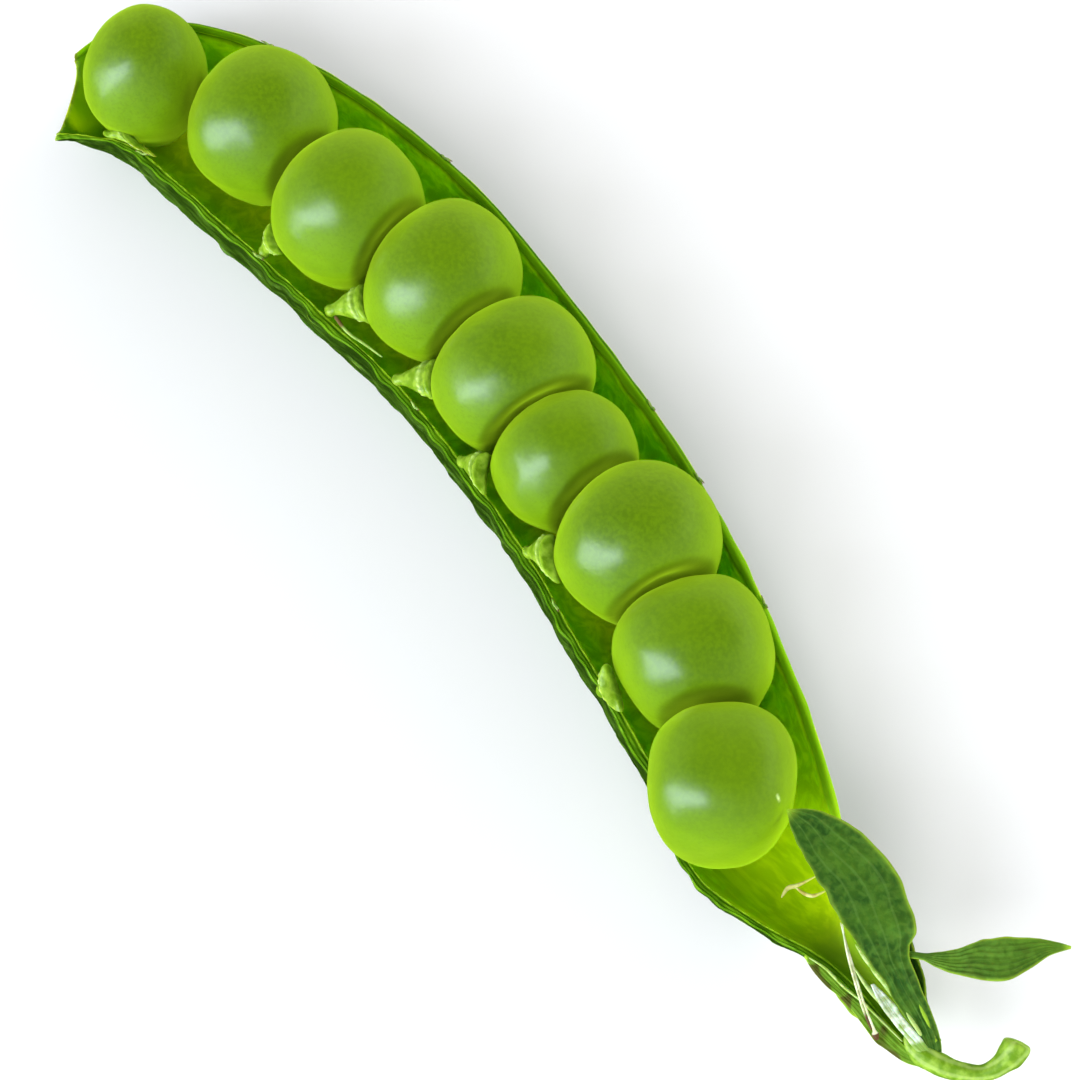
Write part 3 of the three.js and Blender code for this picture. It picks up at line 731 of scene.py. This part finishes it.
def strand(spine, rows, sides, rough, seed):
    """Points, faces and fields of one round strand with rounded ends."""
    t, step = np.linspace(0, 1, rows), 0.004
    data = along(spine, t)
    run = unit(along(spine, t + step)[:, :3] - along(spine, t - step)[:, :3])
    side = unit(np.cross(UP, run))
    upright = np.cross(run, side)
    angle = np.linspace(0, 2 * math.pi, sides, endpoint=False)[None, :]
    tip = np.sqrt(np.clip(1 - ((t - 0.5) * 2) ** 24, 0.06, 1))[:, None]
    ridges = 1 + rough * 0.5 * np.cos(7 * angle + 0.4 * sway(t * 9, 3.0, seed)[:, None])
    offset = side[:, None] * (data[:, 3:4] * np.cos(angle) * tip * ridges)[..., None]
    offset = offset + upright[:, None] * (data[:, 4:5] * np.sin(angle) * tip * ridges)[..., None]
    rings = data[:, None, :3] + offset
    swell = 1 + 1.3 * rough * noise(rings, 1.3, seed + 1)
    rings = data[:, None, :3] + offset * swell[..., None]
    fields = {
        "along": np.append(np.repeat(t, sides), [0, 1]),
        "around": np.append(np.tile(np.cos(5 * angle[0]), rows), [0, 0]),
        "cut": np.append(np.zeros(rows * sides), [0, 1]),
    }
    return with_caps(rings), tube_faces(rows, sides), fields


def make_strands(name, node, spines, material, rows, sides, rough=STRAND_ROUGHNESS):
    """One piece made of one or several strands."""
    points, faces, fields = [], [], {}
    for k, spine in enumerate(spines):
        part, ring_faces, part_fields = strand(spine, rows, sides, rough, 300 + 10 * k + len(name))
        first = sum(map(len, points))
        faces += [tuple(first + i for i in face) for face in ring_faces]
        points.append(part)
        for key, values in part_fields.items():
            fields.setdefault(key, []).append(values)
    fields = {key: np.concatenate(values) for key, values in fields.items()}
    add_piece(name, np.vstack(points) + plan_shift(), faces, material, node, fields)


def tuft(foot, t, number):
    """Short fibres torn loose at one place of a rim."""
    ahead = np.diff(along(SHELL, np.array([t, t + 0.01]))[:, 2:4], axis=0)[0]
    heading = math.atan2(ahead[1], ahead[0])
    spines = []
    for turn in TUFT_TURNS:
        angle = heading + math.radians(turn)
        way = np.array([math.cos(angle), math.sin(angle), 0.1])
        long = 0.5 + 0.15 * math.cos(3 * number + turn)
        spines.append([
            (*foot, 0.09, 0.06),
            (*(foot + 0.5 * long * way + 0.08 * UP), 0.07, 0.05),
            (*(foot + long * way), 0.02, 0.02),
        ])
    return spines


def rim_fibres():
    """The tufts on both rims, and one longer strand beside a pea's stalk."""
    spines = [STALK_STRAND]
    for number, t in enumerate(FAR_TUFTS):
        _, _, x, y, _, _, top = along(SHELL, t)
        spines += tuft(np.array([x, y - 0.1, top + 0.1]), t, number)
    for number, t in enumerate(NEAR_TUFTS, len(FAR_TUFTS)):
        x, y, _, _, _, top, _ = along(SHELL, t)
        spines += tuft(np.array([x, y + 0.25, top + 0.12]), t, number)
    return spines


def make_funicle(number, material, rows=48, sides=56):
    """A trumpet from the near rim to the pea, with a beaded collar and a flared mouth."""
    foot, upper, middle, lower = (np.array(place) for place in FUNICLES[number][:4])
    high = FUNICLES[number][4]
    t = np.linspace(0, 1, rows)[:, None]
    angle = np.linspace(0, 2 * math.pi, sides, endpoint=False)[None, :]
    reach = unit(middle - foot)
    across = unit(lower - upper)
    thick = unit(np.cross(across, reach))
    half = np.linalg.norm(lower - upper) / 2
    wrap = np.linalg.norm((upper + lower) / 2 - middle)
    flare = smooth(0, 1, t) ** 1.15
    beading = np.cos(15 * angle + number)
    beads = bump(t, 0.74, 0.05) * (0.06 + 0.03 * beading)
    beads = beads + 0.05 * bump(t, 0.93, 0.05) - 0.05 * bump(t, 0.84, 0.04)
    knot = 0.12 * bump(t, 0.08, 0.08)
    wide = mix(0.32, half * 1.05, flare) + beads + knot
    tall = mix(0.28, high, flare) + beads + knot
    u = np.cos(angle)
    lift = 0.25 * np.sin(math.pi * t)
    points = mix(foot, middle, t[..., None]) + UP * lift[..., None]
    points = points + across * (wide * u)[..., None] + thick * (tall * np.sin(angle))[..., None]
    points = points + reach * (wrap * 1.2 * (flare * u) ** 2 + 0.25 * t)[..., None]
    points = points + 0.03 * noise(points, 0.9, 200 + number)[..., None] * UP
    fields = {"collar": np.clip(bump(t, 0.74, 0.06) * (0.6 + 0.4 * beading), 0, 1)}
    name = f"funicle_{number}"
    points = with_caps(points) + plan_shift()
    faces = tube_faces(rows, sides)
    add_piece(f"{name}_skin", points, faces, material, name, capped_fields(fields))


# ---- materials ----
def set_sockets(node, **values):
    """Set a node's input sockets, with underscores for the spaces in their names."""
    for key, value in values.items():
        node.inputs[key.replace("_", " ")].default_value = value


class Paint:
    """A short hand for building one material's nodes."""

    def __init__(self, name):
        self.material = bpy.data.materials.new(name)
        self.material.use_nodes = True
        self.tree = self.material.node_tree
        self.shader = self.tree.nodes["Principled BSDF"]

    def node(self, kind, **settings):
        made = self.tree.nodes.new(kind)
        for key, value in settings.items():
            setattr(made, key, value)
        return made

    def link(self, source, target):
        """Set a socket to a number or a colour, or join it to a socket or a piece's field."""
        if isinstance(source, (int, float)):
            target.default_value = source
        elif isinstance(source, tuple):
            target.default_value = (*source, 1)
        elif isinstance(source, str):
            field = self.node("ShaderNodeAttribute", attribute_name=source)
            self.tree.links.new(field.outputs["Fac"], target)
        else:
            self.tree.links.new(source, target)

    def times(self, a, b):
        made = self.node("ShaderNodeMath", operation="MULTIPLY")
        self.link(a, made.inputs[0])
        self.link(b, made.inputs[1])
        return made.outputs[0]

    def noise(self, size, detail, stretch=(1, 1, 1), distortion=0.0, rough=0.5):
        """Noise with features of about size millimetres, stretched along the axes."""
        place = self.node("ShaderNodeTexCoord").outputs["Object"]
        mapping = self.node("ShaderNodeMapping")
        self.link(place, mapping.inputs["Vector"])
        set_sockets(mapping, Scale=[1 / (size * MM * k) for k in stretch])
        made = self.node("ShaderNodeTexNoise")
        self.link(mapping.outputs[0], made.inputs["Vector"])
        set_sockets(made, Scale=1.0, Detail=detail, Distortion=distortion, Roughness=rough)
        return made.outputs["Fac"]

    def ramp(self, value, low, high):
        """A smooth step from 0 at low to 1 at high."""
        made = self.node("ShaderNodeMapRange", interpolation_type="SMOOTHSTEP")
        self.link(value, made.inputs["Value"])
        set_sockets(made, From_Min=low, From_Max=high)
        return made.outputs["Result"]

    def spots(self, size, detail, low, high, **kind):
        """Noise, sharpened to 0 below low and 1 above high."""
        return self.ramp(self.noise(size, detail, **kind), low, high)

    def mix(self, factor, a, b):
        """Colour a where the factor is 0 and colour b where it is 1."""
        made = self.node("ShaderNodeMix", data_type="RGBA")
        color_a, color_b, color_out = 6, 7, 2  # the node's colour sockets
        self.link(factor, made.inputs["Factor"])
        self.link(a, made.inputs[color_a])
        self.link(b, made.inputs[color_b])
        return made.outputs[color_out]

    def cover(self, color, mask, strength, top):
        """The colour under a second one, as strong as the mask times the strength."""
        return self.mix(self.times(mask, strength), color, top)

    def bump(self, height, distance, strength):
        made = self.node("ShaderNodeBump")
        set_sockets(made, Strength=strength, Distance=distance * MM)
        self.link(height, made.inputs["Height"])
        return made.outputs["Normal"]

    def finish(self, color, normal, roughness, **sockets):
        """Join the colour and the normal to the shader, and set its other sockets."""
        self.link(color, self.shader.inputs["Base Color"])
        self.link(roughness, self.shader.inputs["Roughness"])
        if normal is not None:
            self.link(normal, self.shader.inputs["Normal"])
        set_sockets(self.shader, **sockets)
        return self.material


def pea_paint():
    """Yellow-green skin with painted shade on top, below and where peas meet; a pale nick on the
    last.
    """
    paint = Paint("pea_skin")
    blotch = paint.spots(4.0, 2.0, 0.35, 0.65)
    grain = paint.spots(0.3, 2.0, 0.3, 0.7)
    # Painted light and shade: the flanks are painted paler and the top of each pea darker.
    lit_flank = paint.mix(blotch, (0.090, 0.204, 0.0002), (0.121, 0.254, 0.0004))
    shaded_top = paint.mix(blotch, (0.046, 0.112, 0.0001), (0.069, 0.148, 0.0001))
    color = paint.mix("shaded_top", lit_flank, shaded_top)
    color = paint.cover(color, grain, 0.4, (0.135, 0.26, 0.0002))
    speck = paint.spots(0.2, 2.0, 0.5, 0.66)
    color = paint.cover(color, speck, 0.35, (0.055, 0.12, 0.0001))
    color = paint.cover(color, "shade", 0.35, (0.105, 0.22, 0.0001))
    # Painted shade on each pea's underside.
    color = paint.cover(color, "under", 0.7, (0.072, 0.162, 0.0001))
    # Painted shade where the peas meet.
    color = paint.cover(color, "pressed", 0.9, (0.012, 0.034, 0.0001))
    color = paint.mix("nick", color, (0.55, 0.72, 0.28))
    normal = paint.bump(paint.noise(0.35, 3.0), 0.02, 0.5)
    return paint.finish(
        color, normal, 0.32,
        Subsurface_Weight=0.3, Subsurface_Scale=1.0 * MM, Subsurface_Radius=(0.9, 1.0, 0.1),
        Specular_IOR_Level=0.7, Specular_Tint=(0.85, 1.0, 1.0, 1),
        Sheen_Weight=0.6, Sheen_Roughness=0.6, Sheen_Tint=(0.62, 1.0, 0.02, 1),
    )


def shell_paint():
    """Green wall with painted light on its empty end; at the near edge a dark corded band, partly
    painted shade, a strip and a lip.
    """
    paint = Paint("pod_skin")
    mottle = paint.spots(1.3, 5.0, 0.4, 0.62, distortion=0.8, rough=0.6)
    fine = paint.spots(0.25, 3.0, 0.3, 0.7)
    streak = paint.spots(0.4, 3.0, 0.4, 0.66, stretch=(9, 1, 1))
    end = paint.ramp("along", 0.66, 0.76)
    outer = paint.mix(mottle, (0.026, 0.092, 0.003), (0.034, 0.112, 0.004))
    wall = paint.mix(mottle, (0.44, 0.74, 0.0004), (0.67, 0.96, 0.003))
    wall = paint.cover(wall, fine, 0.3, (0.55, 0.85, 0.008))
    wall = paint.mix(paint.ramp("along", 0.12, 0.04), wall, (0.12, 0.28, 0.001))
    # The empty end is painted as a shaded copy next to the last pea and a lit copy beyond it:
    # painted shade and painted light. Towards the neck it is painted darker again.
    shaded_end = paint.mix(streak, (0.37, 0.62, 0.001), (0.50, 0.74, 0.002))
    lit_end = paint.mix(streak, (0.42, 0.62, 0.001), (0.56, 0.74, 0.003))
    lit_end = paint.mix(paint.ramp("along", 0.72, 0.81), shaded_end, lit_end)
    lit_end = paint.mix(paint.ramp("along", 0.79, 0.86), lit_end, (0.16, 0.29, 0.008))
    color = paint.mix("inside", outer, paint.mix(end, wall, lit_end))
    # The dark colour of the band below the near edge is partly the skin's own and partly painted
    # shade, where the wall faces down and away.
    dark = paint.mix(streak, (0.010, 0.030, 0.001), (0.030, 0.078, 0.003))
    color = paint.mix("band", color, dark)
    broken = paint.spots(0.9, 4.0, 0.42, 0.62, stretch=(2.5, 1, 1))
    lines = paint.times(paint.times("streak", streak), broken)
    strip = paint.mix(streak, (0.055, 0.15, 0.002), (0.11, 0.25, 0.004))
    color = paint.mix("strip", color, strip)
    color = paint.cover(color, lines, 0.35, (0.20, 0.38, 0.06))
    # Painted shade in the groove just inside the far rim.
    color = paint.cover(color, "groove", 0.85, (0.05, 0.17, 0.002))
    rim = paint.mix(end, (0.16, 0.36, 0.003), (0.30, 0.56, 0.008))
    color = paint.mix("far_rim", color, rim)
    lip = paint.mix(fine, (0.13, 0.28, 0.003), (0.26, 0.44, 0.015))
    color = paint.mix("lip", color, lip)
    worn = paint.mix(mottle, (0.10, 0.12, 0.02), (0.22, 0.34, 0.05))
    color = paint.mix("tip", color, worn)
    normal = paint.bump(paint.noise(0.5, 4.0, stretch=(5, 1, 1)), 0.05, 0.5)
    return paint.finish(
        color, normal, 0.65, Subsurface_Weight=0.6, Subsurface_Scale=0.9 * MM,
        Subsurface_Radius=(0.9, 1.0, 0.1), Specular_IOR_Level=0.08, Specular_Tint=(0.7, 1.0, 0.3, 1),
    )


def leaf_paint():
    """Dark mottled green with fine veins, a lime margin and brown spots."""
    paint = Paint("sepal_blade")
    mottle = paint.spots(0.45, 4.0, 0.36, 0.66, distortion=0.4)
    patch = paint.spots(2.0, 2.0, 0.35, 0.7)
    color = paint.mix(mottle, (0.018, 0.068, 0.008), (0.052, 0.132, 0.015))
    color = paint.cover(color, patch, 0.45, (0.085, 0.20, 0.012))
    color = paint.cover(color, paint.ramp("rib", 0.75, 1.0), 0.3, (0.11, 0.23, 0.04))
    color = paint.mix("lime", color, (0.22, 0.42, 0.02))
    color = paint.mix("margin", color, (0.30, 0.50, 0.03))
    color = paint.mix("brown", color, (0.05, 0.028, 0.008))
    normal = paint.bump(paint.noise(0.3, 4.0), 0.05, 0.6)
    return paint.finish(
        color, normal, 0.6, Subsurface_Weight=0.15, Subsurface_Scale=0.4 * MM,
        Specular_IOR_Level=0.15, Specular_Tint=(0.7, 1.0, 0.5, 1),
    )


def stalk_paint():
    """Pale yellow-green stalk with lengthwise streaks and a darker cut end."""
    paint = Paint("stalk_skin")
    streak = paint.spots(0.5, 4.0, 0.35, 0.68)
    color = paint.mix(streak, (0.12, 0.255, 0.006), (0.25, 0.41, 0.038))
    color = paint.cover(color, paint.ramp("around", 0.2, 1.0), 0.28, (0.50, 0.64, 0.22))
    color = paint.cover(color, "cut", 0.8, (0.20, 0.40, 0.01))
    normal = paint.bump(paint.noise(0.3, 3.0), 0.05, 0.6)
    return paint.finish(
        color, normal, 0.45, Subsurface_Weight=0.4, Subsurface_Scale=0.8 * MM,
        Subsurface_Radius=(0.9, 1.0, 0.2), Specular_IOR_Level=0.25,
    )


def funicle_paint():
    """Pale green stalks with lighter beads at their collars."""
    paint = Paint("funicle_skin")
    patch = paint.spots(0.5, 3.0, 0.35, 0.65)
    color = paint.mix(patch, (0.14, 0.27, 0.006), (0.26, 0.42, 0.03))
    color = paint.mix("collar", color, (0.42, 0.58, 0.16))
    normal = paint.bump(paint.noise(0.25, 3.0), 0.05, 0.6)
    return paint.finish(
        color, normal, 0.3, Subsurface_Weight=0.5, Subsurface_Scale=0.8 * MM,
        Subsurface_Radius=(0.9, 1.0, 0.2), Specular_IOR_Level=0.35,
    )


def dry_paint(name, dark, pale, end):
    """Dry tissue, streaked from dark to pale, with an end of its own colour."""
    paint = Paint(name)
    color = paint.mix(paint.spots(0.5, 4.0, 0.36, 0.62), dark, pale)
    color = paint.mix(paint.ramp("along", 0.72, 0.8), color, end)
    normal = paint.bump(paint.noise(0.2, 3.0), 0.03, 0.6)
    return paint.finish(color, normal, 0.5, Subsurface_Weight=0.2, Subsurface_Scale=0.4 * MM)


def floor_paint():
    """Pale and matt."""
    paint = Paint("pale_floor")
    return paint.finish((0.9, 0.9, 0.905), None, 0.9)


# ---- stage ----
# The floor's point at the middle of the view, and where the camera stands from it.
CAMERA_TARGET = (0.55, -1.38, 0.0)
CAMERA_AZIMUTH, CAMERA_ELEVATION = 50.0, 62.0
CAMERA_DISTANCE, CAMERA_LENS, SENSOR = 208.5, 106.67, 36.0
CAMERA_CLIP = (0.01, 10)
LIGHT_DISTANCE = 700
FLOOR_HALF, FLOOR_DROP = 3000, 0.02
# The sky's strength below SKY_LOW and above SKY_HIGH, which are sines of the elevation.
SKY_EDGE, SKY_TOP = 1.8, 0.12
SKY_LOW, SKY_HIGH = 0.3, 0.8


def way_to(azimuth, elevation):
    """Unit vector at an elevation, and an azimuth that counts from -Y towards +X."""
    a, e = math.radians(azimuth), math.radians(elevation)
    return np.array([math.sin(a) * math.cos(e), -math.cos(a) * math.cos(e), math.sin(e)])


def add_camera():
    """The camera looks at its target from its azimuth and elevation."""
    back = way_to(CAMERA_AZIMUTH, CAMERA_ELEVATION)
    data = bpy.data.cameras.new("camera")
    data.lens, data.sensor_width = CAMERA_LENS, SENSOR
    data.clip_start, data.clip_end = CAMERA_CLIP
    camera = bpy.data.objects.new("camera", data)
    camera.location = (np.array(CAMERA_TARGET) + back * CAMERA_DISTANCE) * MM
    camera.rotation_euler = Vector(-back).to_track_quat("-Z", "Y").to_euler()
    bpy.context.scene.collection.objects.link(camera)
    bpy.context.scene.camera = camera


def add_light(name, way, size, watts, color=(1, 1, 1), roll=0.0, glossy=True):
    """An area light that faces the pod, rolled about its own axis; glossy lights show in gloss."""
    data = bpy.data.lights.new(name, "AREA")
    data.shape, data.size, data.size_y = "RECTANGLE", size[0] * MM, size[1] * MM
    data.energy, data.color = watts, color
    light = bpy.data.objects.new(name, data)
    back = way_to(*way)
    light.location = back * LIGHT_DISTANCE * MM
    turn = Quaternion((0, 0, 1), math.radians(roll))
    light.rotation_euler = (Vector(-back).to_track_quat("-Z", "Y") @ turn).to_euler()
    light.visible_glossy = glossy
    bpy.context.scene.collection.objects.link(light)


def add_floor():
    """A pale floor just below the pod, which doesn't show in gloss."""
    half = FLOOR_HALF * MM
    corners = [(-half, -half, 0), (half, -half, 0), (half, half, 0), (-half, half, 0)]
    mesh = bpy.data.meshes.new("floor")
    mesh.from_pydata(corners, [], [(0, 1, 2, 3)])
    mesh.materials.append(floor_paint())
    floor = bpy.data.objects.new("floor", mesh)
    floor.location.z = -FLOOR_DROP * MM
    floor.visible_glossy = False
    bpy.context.scene.collection.objects.link(floor)


def add_world():
    """Bright all round near the horizon and dimmer overhead; it doesn't show in gloss."""
    world = bpy.data.worlds.new("studio")
    world.use_nodes = True
    tree = world.node_tree
    place = tree.nodes.new("ShaderNodeTexCoord")
    split = tree.nodes.new("ShaderNodeSeparateXYZ")
    ramp = tree.nodes.new("ShaderNodeMapRange")
    ramp.interpolation_type = "SMOOTHSTEP"
    tree.links.new(place.outputs["Generated"], split.inputs[0])
    tree.links.new(split.outputs["Z"], ramp.inputs["Value"])
    set_sockets(ramp, From_Min=SKY_LOW, From_Max=SKY_HIGH, To_Min=SKY_EDGE, To_Max=SKY_TOP)
    set_sockets(tree.nodes["Background"], Color=(1, 1, 1, 1))
    tree.links.new(ramp.outputs["Result"], tree.nodes["Background"].inputs["Strength"])
    bpy.context.scene.world = world
    world.cycles_visibility.glossy = False


# ---- build ----
def make_blades(leaf):
    """The sepals and the papery sleeve."""
    film = dry_paint("papery_film", (0.38, 0.52, 0.22), (0.70, 0.80, 0.68), (0.22, 0.38, 0.06))
    for name in BLADES:
        if name == "stamen_sheath":
            make_blade(name, film, SHEATH_THICKNESS)
        else:
            make_blade(name, leaf)


def make_threads():
    """The stalk, the dried threads, and the pale lines and fibres on the shell."""
    make_strands("pedicel_skin", "pedicel", PEDICEL, stalk_paint(), 120, 48)
    dry = dry_paint("dry_strand", (0.42, 0.50, 0.22), (0.72, 0.76, 0.52), (0.10, 0.05, 0.015))
    make_strands("stamen_filament_strand", "stamen_filament", FILAMENT, dry, 70, 14)
    tan = dry_paint("dry_thread", (0.52, 0.42, 0.10), (0.78, 0.74, 0.28), (0.62, 0.60, 0.15))
    make_strands("dried_thread_strand", "dried_thread", THREAD, tan, 50, 12)
    pale = dry_paint("neck_line", (0.24, 0.42, 0.03), (0.46, 0.64, 0.22), (0.34, 0.50, 0.12))
    make_strands("neck_line_strands", "pod_valve", NECK_LINES, pale, 90, 14, 0.12)
    fibre = dry_paint("rim_fibre", (0.17, 0.33, 0.03), (0.34, 0.50, 0.11), (0.16, 0.10, 0.03))
    make_strands("rim_fibre_strands", "pod_valve", rim_fibres(), fibre, 24, 10)


leaf_skin = leaf_paint()
funicle_skin = funicle_paint()
make_shell(shell_paint())
make_peas(pea_paint())
for number in FUNICLES:
    make_funicle(number, funicle_skin)
make_cup(leaf_skin)
make_blades(leaf_skin)
make_threads()
add_floor()
add_world()
add_camera()
add_light("key", (355, 20), (820, 340), 6.3, (0.92, 0.98, 1.08), roll=50)
add_light("front", (45, 42), (300, 300), 1.9, glossy=False)
add_light("side", (165, 14), (900, 240), 5.1, glossy=False)
bpy.context.scene.view_settings.view_transform = "Standard"
